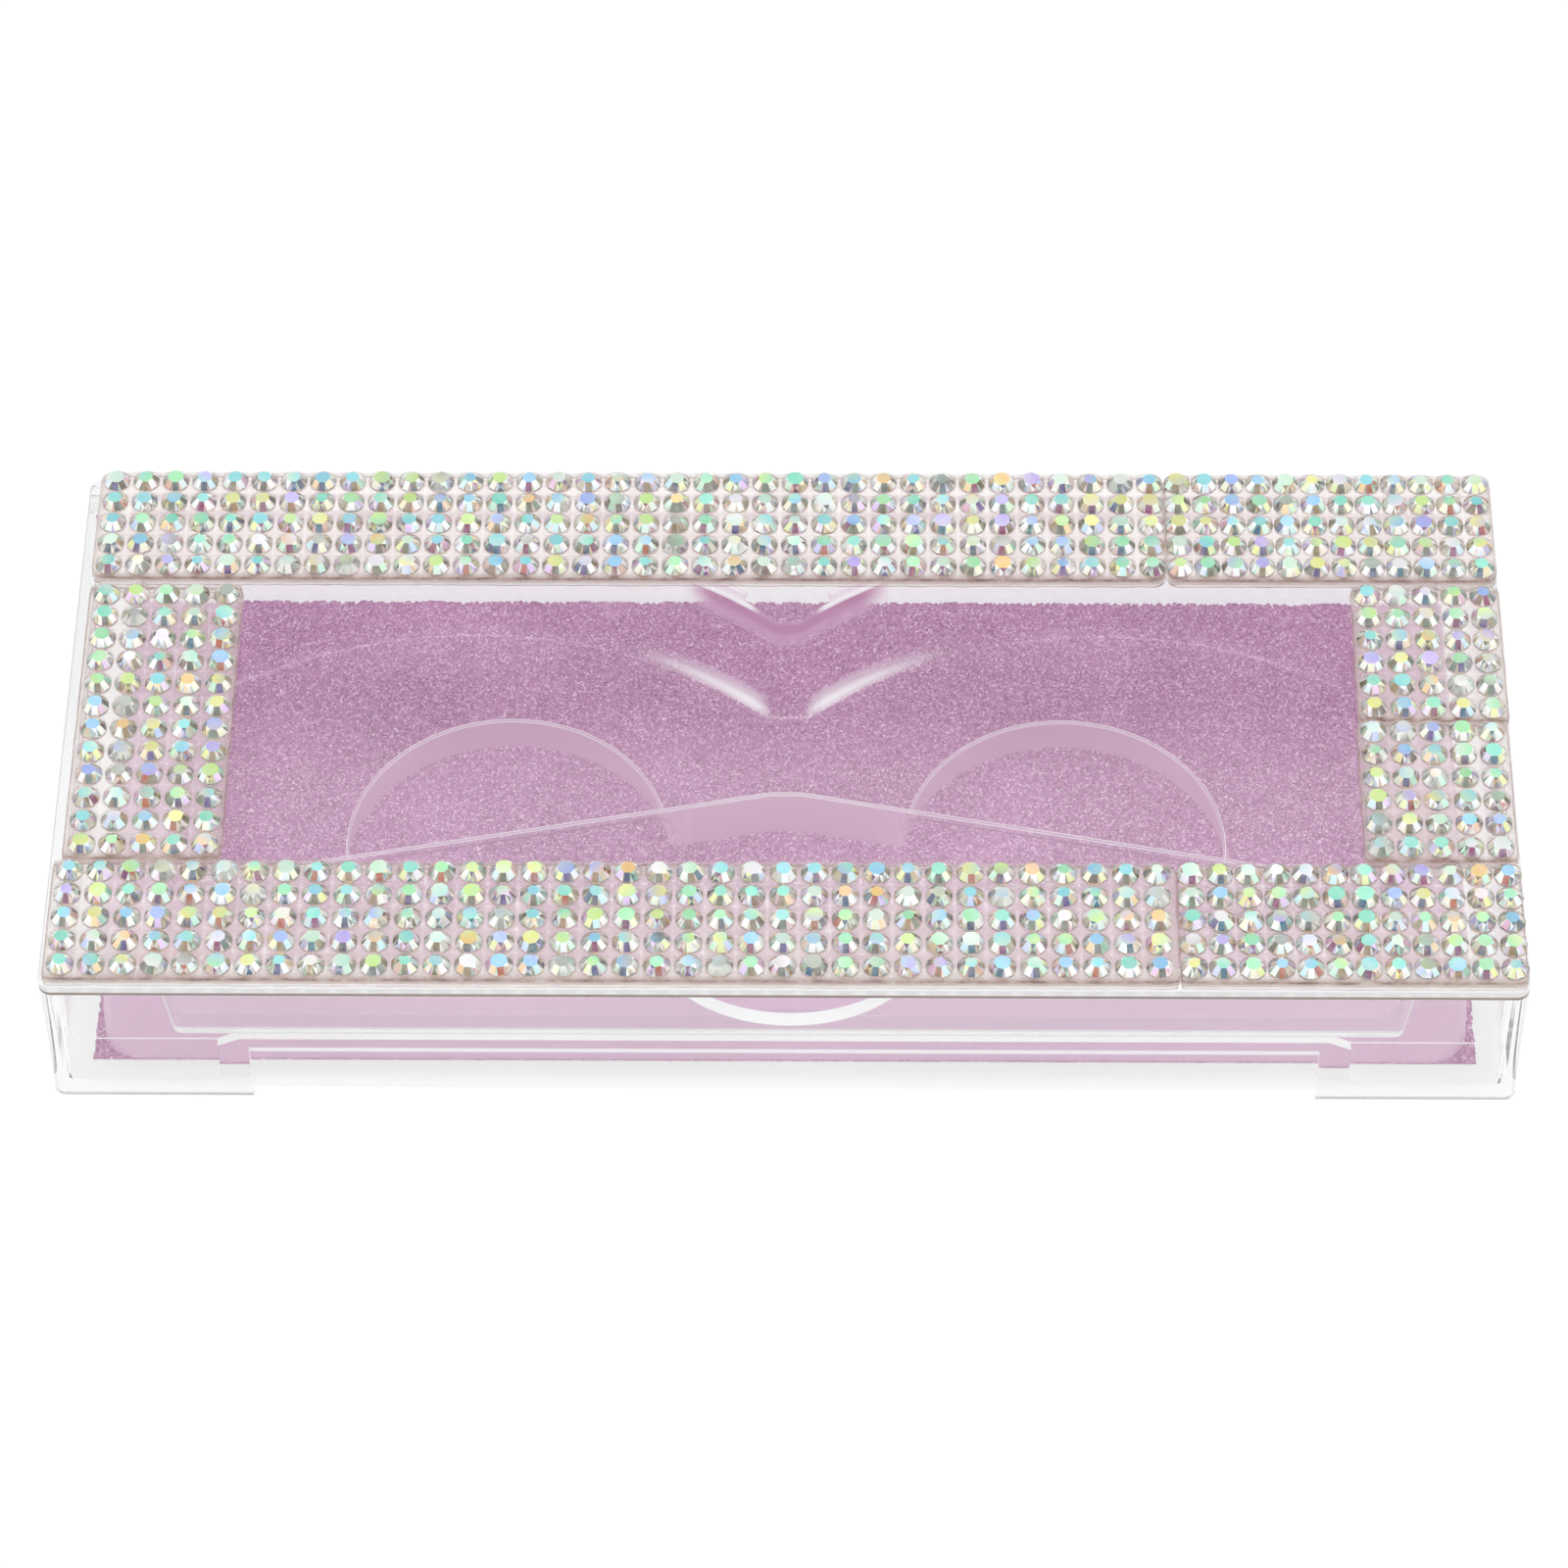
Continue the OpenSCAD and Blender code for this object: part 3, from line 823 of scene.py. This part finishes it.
def glitter_card(material):
    hx, y0, y1 = CARD_W / 2, CARD_Y - CARD_D / 2, CARD_Y + CARD_D / 2 + TORN
    nx, ny = int(CARD_W / CARD_STEP), int(CARD_D / CARD_STEP)
    # Each point of the outline, the way its edge faces and how rough the cut is there
    loop = [(-hx + CARD_W * k / nx, y0, 0, -1, 0.03) for k in range(nx)]
    loop += [(hx, y0 + CARD_D * k / ny, 1, 0, 0.16) for k in range(ny)]
    loop += [(hx - CARD_W * k / nx, y1, 0, 1, 0.35) for k in range(nx)]
    loop += [(-hx, y1 - CARD_D * k / ny, -1, 0, 0.16) for k in range(ny)]
    rng = random.Random(11)
    cut = [rng.random() ** 2 for _ in loop]
    verts, faces = [], []
    levels = ((FLOOR_TOP + 0.015, 0.0), (CARD_TOP - 0.08, 0.0), (CARD_TOP - 0.02, 0.03))
    for z, inset in levels:
        for (x, y, ux, uy, rough), c in zip(loop, cut):
            back = inset + rough * c + rough * 0.6 * (1 + noise.noise(Vector((x, y, 0)) * 0.5)) * 0.5
            verts.append((x - ux * back, y - uy * back, z))
    n = len(loop)
    for ring in range(len(levels) - 1):
        for k in range(n):
            j = (k + 1) % n
            faces.append([ring * n + k, ring * n + j, (ring + 1) * n + j, (ring + 1) * n + k])
    faces.append(list(range(n))[::-1])
    faces.append([(len(levels) - 1) * n + k for k in range(n)])
    ob = cleaned(mesh_object("card_sheet", verts, faces, material))
    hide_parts("glitter_card")
    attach(ob, "base")
    return ob


# Formed lash tray: one sheet, its height read from the distances to the edges of each form
TRAY_X, TRAY_FRONT, TRAY_BACK, TRAY_CORNER = 51.4, -22.2, 21.8, 3.0
TRAY_MID = (TRAY_FRONT + TRAY_BACK) / 2
CORNER_X, CORNER_Y = TRAY_X - TRAY_CORNER, (TRAY_BACK - TRAY_FRONT) / 2 - TRAY_CORNER
TRAY_FLOOR = 1.85
TRAY_RIM = 10.9
ARCH_X, ARCH_Y, ARCH_R = 24.75, -17.4, 36.5
SIDE_X, PILLAR_Y = 44.5, 10.7
PILLAR_X = 15
SHELF_Z, RIDGE_Y, RIDGE_SLOPE, RIDGE_FLAT = 7.2, -1.5, 0.198, 1.2
RIDGE_LEAN = math.hypot(1, RIDGE_SLOPE)
FRONT_HAZE_Y = -14.0
PERCH_X, PERCH_Y, PERCH_R, PERCH_Z = 21.3, -5.6, 12.3, 5.8
SHELF_RUN, PERCH_RUN = 0.4, 0.5
PERCH_STEPS = 128
FILM = 0.2


def wall_profile(run, height, r_low, r_high, steps, stops=()):
    """Points (distance, height) of a leaning wall with a round foot and a round top edge."""
    lean = math.atan2(height, run)
    points = [(-r_low * math.tan(lean / 2) - 0.001, 0.0)]
    low, high = r_low * math.tan(lean / 2), r_high * math.tan(lean / 2)
    for k in range(1, steps + 1):
        a = lean * k / steps
        points.append((-low + r_low * math.sin(a), r_low * (1 - math.cos(a))))
    x_foot, z_foot = points[-1]
    x_top, z_top = run + high - r_high * math.sin(lean), height - r_high * (1 - math.cos(lean))
    for share in stops:
        points.append((x_foot + (x_top - x_foot) * share, z_foot + (z_top - z_foot) * share))
    for k in range(0, steps + 1):
        a = lean * (1 - k / steps)
        points.append((run + high - r_high * math.sin(a), height - r_high * (1 - math.cos(a))))
    return points


RIM_WALL = wall_profile(1.5, TRAY_RIM - TRAY_FLOOR, 1.1, 0.3, 6, (0.08, 0.7, 0.93))
SHELF_WALL = wall_profile(SHELF_RUN, SHELF_Z - TRAY_FLOOR, 0.5, 0.15, 4, (0.93,))
PERCH_WALL = wall_profile(PERCH_RUN, PERCH_Z - TRAY_FLOOR, 0.5, 0.15, 4, (0.91,))
LIP_END = RIM_WALL[-1][0]
HEM_Z = CARD_TOP + 0.03
OUTER_WALL = wall_profile(0.5, TRAY_RIM - CARD_TOP - 0.03, 0.01, 0.5, 4)


def along(profile, d):
    if d <= profile[0][0]:
        return profile[0][1]
    for (d0, h0), (d1, h1) in zip(profile, profile[1:]):
        if d <= d1:
            return h0 + (h1 - h0) * (d - d0) / max(d1 - d0, 1e-9)
    return profile[-1][1]


def ridge_at(x):
    return RIDGE_Y - RIDGE_SLOPE * max(abs(x), RIDGE_FLAT)


def shelf_distance(x, y):
    return (ridge_at(x) - y) / RIDGE_LEAN + SHELF_RUN


def perch_distance(x, y, side):
    return PERCH_R + PERCH_RUN - math.hypot(x - side * PERCH_X, y - PERCH_Y)


def recess_distance(x, y):
    d = min(math.hypot(x - ARCH_X, y - ARCH_Y), math.hypot(x + ARCH_X, y - ARCH_Y)) - ARCH_R
    if abs(x) < PILLAR_X:
        d = min(d, y - PILLAR_Y)
    return max(d, abs(x) - SIDE_X)


def outer_distance(x, y):
    qx = abs(x) - CORNER_X
    qy = abs(y - TRAY_MID) - CORNER_Y
    return TRAY_CORNER - math.hypot(max(qx, 0), max(qy, 0)) - min(max(qx, qy), 0)


def tray_height(x, y):
    h = TRAY_FLOOR + along(RIM_WALL, recess_distance(x, y))
    h = max(h, TRAY_FLOOR + along(SHELF_WALL, shelf_distance(x, y)))
    for s in (-1, 1):
        h = max(h, TRAY_FLOOR + along(PERCH_WALL, perch_distance(x, y, s)))
    return min(h, HEM_Z + along(OUTER_WALL, outer_distance(x, y)))


def faded(value, full, none):
    """1 up to full, 0 from none on."""
    return min(1.0, max(0.0, (none - value) / (none - full)))


# Marks of the sheet: how milky it is, how much painted white highlight, how shining, and how much painted
# reflection of the card, each from 0 to 1
PLAIN = (0.0, 0.0, 0.0, 0.0)
HAZY = (0.5, 0.0, 0.0, 0.0)
# Painted white highlight along a top edge
PAINTED_WHITE_TOP = (1.0, 1.0, 0.0, 0.35)
# Painted white highlight at the back of the pillar
PAINTED_WHITE_BACK = (0.85, 1.0, 0.0, 0.0)
CREST = 0.24

# Where the painted highlight streaks lie: across the foot of an arch, then over the pillar between the
# arches
FOOT_FROM, FOOT_TO, FOOT_MIDDLE, FOOT_HALF = -0.95, 0.3, -0.18, 0.55
FOOT_HIGH, FOOT_Y = 1.4, 2
CAP_X, CAP_Y, CAP_FROM = 8.5, 8, 0.8


def wall_marks(x, y, z):
    """Marks of a point on the wall of the shelf or of a platform, or nothing."""
    forms = [(SHELF_Z, shelf_distance(x, y), SHELF_RUN, faded(abs(x), 6.5, 10.5))]
    forms += [(PERCH_Z, perch_distance(x, y, s), PERCH_RUN, 1.0) for s in (-1, 1)]
    for top, d, run, share in forms:
        if TRAY_FLOOR + 0.1 < z < top + 0.01 and -0.2 < d < run + 0.06:
            # White highlight painted on the top edge, milky with a little painted card reflection below
            return PAINTED_WHITE_TOP if z > top - CREST else (0.74 * share, 0.0, 0.0, 0.35)
    return None


def arch_marks(x, y, z):
    """Marks of the painted highlight streaks at the feet of the arches and of the pillar between them, or
    nothing.
    """
    foot = recess_distance(x, y)
    if FOOT_FROM < foot < FOOT_TO and z < TRAY_FLOOR + FOOT_HIGH and y > FOOT_Y:
        along_foot = faded(-abs(x), -2.9, -1.3) * faded(abs(x), 2.0, 13.0) ** 1.3
        glow = along_foot * max(0.0, 1 - abs(foot - FOOT_MIDDLE) / FOOT_HALF)
        # A white highlight painted across the foot, with a little real gloss
        return 0.9 * glow, 1.0, glow, 0.0
    # Over the pillar: white highlights painted at the back and along the top edge, the card's mauve
    # painted on below as its reflection
    if CAP_FROM < foot < LIP_END + 0.85 and y > CAP_Y and abs(x) < CAP_X:
        if foot > LIP_END + 0.02:
            painted_white = 3.2 < abs(x) < 7.5 and foot > LIP_END + 0.5
            return PAINTED_WHITE_BACK if painted_white else PLAIN
        if z > TRAY_RIM - 0.25:
            return 0.9 * faded(-abs(x), -3.0, -2.2), 1.0, 0.0, 1.0
        if z > TRAY_RIM - 1.0:
            return 0.8 * faded(abs(x), 6.0, 8.0), 0.0, 0.0, 1.0
    return None


def tray_marks(x, y, z):
    """Marks of any point of the sheet."""
    marks = wall_marks(x, y, z)
    if marks:
        return marks
    if outer_distance(x, y) < 0.9:
        return HAZY if y < 10 else PLAIN
    if z > SHELF_Z - 0.01 and y < FRONT_HAZE_Y - 2.9:
        return HAZY
    return arch_marks(x, y, z) or PLAIN


def tray_lines():
    """Polylines the sheet's triangles keep to, so that each rounded edge is followed."""
    lines = []
    for d in [at for at, _ in RIM_WALL] + [LIP_END + 0.12, LIP_END + 0.8, LIP_END + 0.92]:
        xs = [-(SIDE_X + d) + 2 * (SIDE_X + d) * k / 220 for k in range(221)]
        reach = ARCH_R + d
        nose = ARCH_X - math.sqrt(reach * reach - (PILLAR_Y + d - ARCH_Y) ** 2)
        xs = sorted(xs + [nose, -nose])
        line = [(-(SIDE_X + d), TRAY_FRONT)]
        for x in xs:
            y = ARCH_Y + math.sqrt(max(reach * reach - (abs(x) - ARCH_X) ** 2, 0))
            if abs(x) < PILLAR_X:
                y = max(y, PILLAR_Y + d)
            line.append((x, y))
        line.append((SIDE_X + d, TRAY_FRONT))
        lines.append((line, False))
    for y in (FRONT_HAZE_Y, FRONT_HAZE_Y - 3):
        lines.append(([(-SIDE_X + 0.5, y), (SIDE_X - 0.5, y)], False))
    places = [RIDGE_FLAT, 6.5, 8.5, 10.5, 15, 30, 46]
    places = [-x for x in reversed(places)] + places
    for d, _ in SHELF_WALL:
        lines.append(([(x, ridge_at(x) - (d - SHELF_RUN) * RIDGE_LEAN) for x in places], False))
    for s in (-1, 1):
        for d, _ in PERCH_WALL:
            r = PERCH_R + PERCH_RUN - d
            turns = [2 * math.pi * k / PERCH_STEPS for k in range(PERCH_STEPS)]
            ring = [(s * PERCH_X + r * math.cos(a), PERCH_Y + r * math.sin(a)) for a in turns]
            run = []
            for p in ring + ring:
                if p[1] > ridge_at(p[0]) - 0.6:
                    run.append(p)
                elif run:
                    if len(run) > 3:
                        lines.append((run, False))
                    run = []
    for d in [at for at, _ in OUTER_WALL[1:]] + [1.0]:
        r = TRAY_CORNER - d
        ring = []
        for quarter, (sx, sy) in enumerate(((1, 1), (-1, 1), (-1, -1), (1, -1))):
            for k in range(9):
                a = math.radians(90 * quarter + 90 * k / 8)
                x, y = sx * CORNER_X + r * math.cos(a), TRAY_MID + sy * CORNER_Y + r * math.sin(a)
                ring.append((x, y))
        lines.append((ring, True))
    return lines


def lash_tray(material):
    points, edges = [], []
    for line, closed in tray_lines():
        start = len(points)
        points += [Vector(p) for p in line]
        edges += [(start + k, start + k + 1) for k in range(len(line) - 1)]
        if closed:
            edges.append((start + len(line) - 1, start))
    verts2, _, faces, _, _, _ = geometry.delaunay_2d_cdt(points, edges, [], 0, 1e-5)
    keep = []
    for f in faces:
        mx = sum(verts2[i][0] for i in f) / len(f)
        my = sum(verts2[i][1] for i in f) / len(f)
        if outer_distance(mx, my) > -0.02:
            keep.append(list(f))
    verts = [(v[0], v[1], tray_height(v[0], v[1])) for v in verts2]
    ob = mesh_object("tray_sheet", verts, keep, material, smooth=True)
    marks = [tray_marks(x, y, z) for x, y, z in verts]
    kinds = ("milk", "painted_highlight", "shine", "painted_card_reflection")
    mark_points(ob, {kind: [mark[k] for mark in marks] for k, kind in enumerate(kinds)})
    bm = bmesh.new()
    bm.from_mesh(ob.data)
    bmesh.ops.delete(bm, geom=[v for v in bm.verts if not v.link_faces], context="VERTS")
    bmesh.ops.remove_doubles(bm, verts=bm.verts, dist=0.001 * MM)
    bmesh.ops.recalc_face_normals(bm, faces=bm.faces)
    top = max(bm.faces, key=lambda f: f.calc_center_median().z)
    if top.normal.z < 0:
        bmesh.ops.reverse_faces(bm, faces=bm.faces)
    for f in bm.faces:
        f.smooth = f.normal.z < 0.9998
    bm.to_mesh(ob.data)
    bm.free()
    thick = ob.modifiers.new("sheet", "SOLIDIFY")
    thick.thickness = FILM * MM
    thick.offset = -1
    unshaded(ob)
    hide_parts("lash_tray")
    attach(ob, "base")
    return ob


def soften(node, width):
    """A hair of clearance to what it touches, then a fine round on each sharp edge."""
    ob = nodes[node]
    weld = ob.modifiers.new("weld", "WELD")
    weld.merge_threshold = 1e-6
    shrink = ob.modifiers.new("clearance", "DISPLACE")
    shrink.mid_level = 0
    shrink.strength = -0.012 * MM
    bevel = ob.modifiers.new("edge", "BEVEL")
    bevel.width = width * MM
    bevel.segments = 2
    bevel.limit_method = "ANGLE"
    bevel.angle_limit = math.radians(35)
    bevel.use_clamp_overlap = True


def dress(node, material):
    ob = nodes[node]
    ob.data.materials.clear()
    ob.data.materials.append(material)


# Light, floor and surroundings
PANEL_SLOPE = (1.19, 1.215)
FIRST_DEPTHS = 2.5


def make_world():
    """A white tent. Behind the case its first reflections are dimmer below the edge of the panel."""
    world = bpy.data.worlds.new("studio")
    bpy.context.scene.world = world
    world.use_nodes = True
    n = Nodes(world.node_tree)
    split = n.add("ShaderNodeSeparateXYZ")
    n.link(n.add("ShaderNodeTexCoord").outputs["Generated"], split.inputs[0])
    y, z = split.outputs["Y"], split.outputs["Z"]
    levels = [(0.0, 1.0), (0.5, 0.95), (0.62, 1.05), (1.0, 1.08)]
    tent = n.ramp(n.spread(z, -1, 1, 0, 1), [(at, (v, v, v, 1)) for at, v in levels])
    panel = n.spread(n.maths("DIVIDE", z, y), PANEL_SLOPE[0], PANEL_SLOPE[1], 0.0, 1.0)
    path = n.light_path()
    first = n.below(path["Ray Depth"], FIRST_DEPTHS)
    mirrored = n.times(n.above(y, 0.0), path["Is Glossy Ray"], first)
    lit = n.mix(mirrored, tent, panel, "MULTIPLY")
    seen = n.most(path["Is Camera Ray"], path["Is Transmission Ray"])
    background = n.tree.nodes["Background"]
    n.link(n.mix(seen, lit, (1, 1, 1, 1)), background.inputs["Color"])
    background.inputs["Strength"].default_value = 1.0


def make_floor():
    """White table, a little below the sole, that keeps the case's shadow."""
    mesh = bpy.data.meshes.new("floor")
    half = 3.0
    z = -0.04 * MM
    corners = [(-half, -half, z), (half, -half, z), (half, half, z), (-half, half, z)]
    mesh.from_pydata(corners, [], [(0, 1, 2, 3)])
    ob = bpy.data.objects.new("floor", mesh)
    bpy.context.scene.collection.objects.link(ob)
    n = Finish("floor")
    n.tree.nodes.remove(n.shader)
    matt = n.shade("ShaderNodeBsdfDiffuse", (0.8, 0.8, 0.8, 1))
    glow = n.add("ShaderNodeEmission")
    glow.inputs["Color"].default_value = (1, 1, 1, 1)
    glow.inputs["Strength"].default_value = 1.05
    path = n.light_path()
    seen = n.most(path["Is Camera Ray"], path["Is Glossy Ray"], path["Is Transmission Ray"])
    n.surface(n.mixed(n.times(seen, 0.8), matt, glow.outputs[0]))
    mesh.materials.append(n.mat)


def softbox(name, at, size, power):
    data = bpy.data.lights.new(name, "AREA")
    data.shape = "RECTANGLE"
    data.size, data.size_y = size
    data.energy = power
    ob = bpy.data.objects.new(name, data)
    bpy.context.scene.collection.objects.link(ob)
    ob.location = at
    ob.rotation_mode = "QUATERNION"
    ob.rotation_quaternion = Vector(at).to_track_quat("Z", "Y")
    return ob


CASE_TINT = (0.905, 0.9, 0.896, 1)
CASE_THIN_TINT = (0.94, 0.937, 0.933, 1)
LID_TINT = (0.97, 0.975, 0.98, 1)
LID_THIN_TINT = (0.985, 0.99, 0.99, 1)

make_camera()
make_world()
make_floor()
softbox("softbox_top", (0.0, 0.05, 0.6), (0.25, 0.12), 0.35)

case_plastic = clear_plastic("case_plastic", CASE_TINT, CASE_THIN_TINT, case_painted_glow, CASE_HALF)
lid_plastic = clear_plastic("lid_plastic", LID_TINT, LID_THIN_TINT, lid_painted_glow_and_shade, NO_OUTLINE)
film_plastic = formed_film("film_plastic")
card_glitter = glitter("card_glitter")
band_resin = resin("band_resin")
glue_resin = adhesive("glue_resin")
stone_crystal = crystal("stone_crystal")

dress("case_base", case_plastic)
dress("lid", lid_plastic)
soften("case_base", 0.1)
soften("lid", 0.1)
glitter_card(card_glitter)
lash_tray(film_plastic)
for band_name, band_layout in BANDS.items():
    band_stones(band_name, band_layout, stone_crystal)
    band_carrier(band_name, band_layout, band_resin)
    glue_bead(band_name, band_layout, glue_resin)

bpy.context.scene.view_settings.view_transform = "Standard"
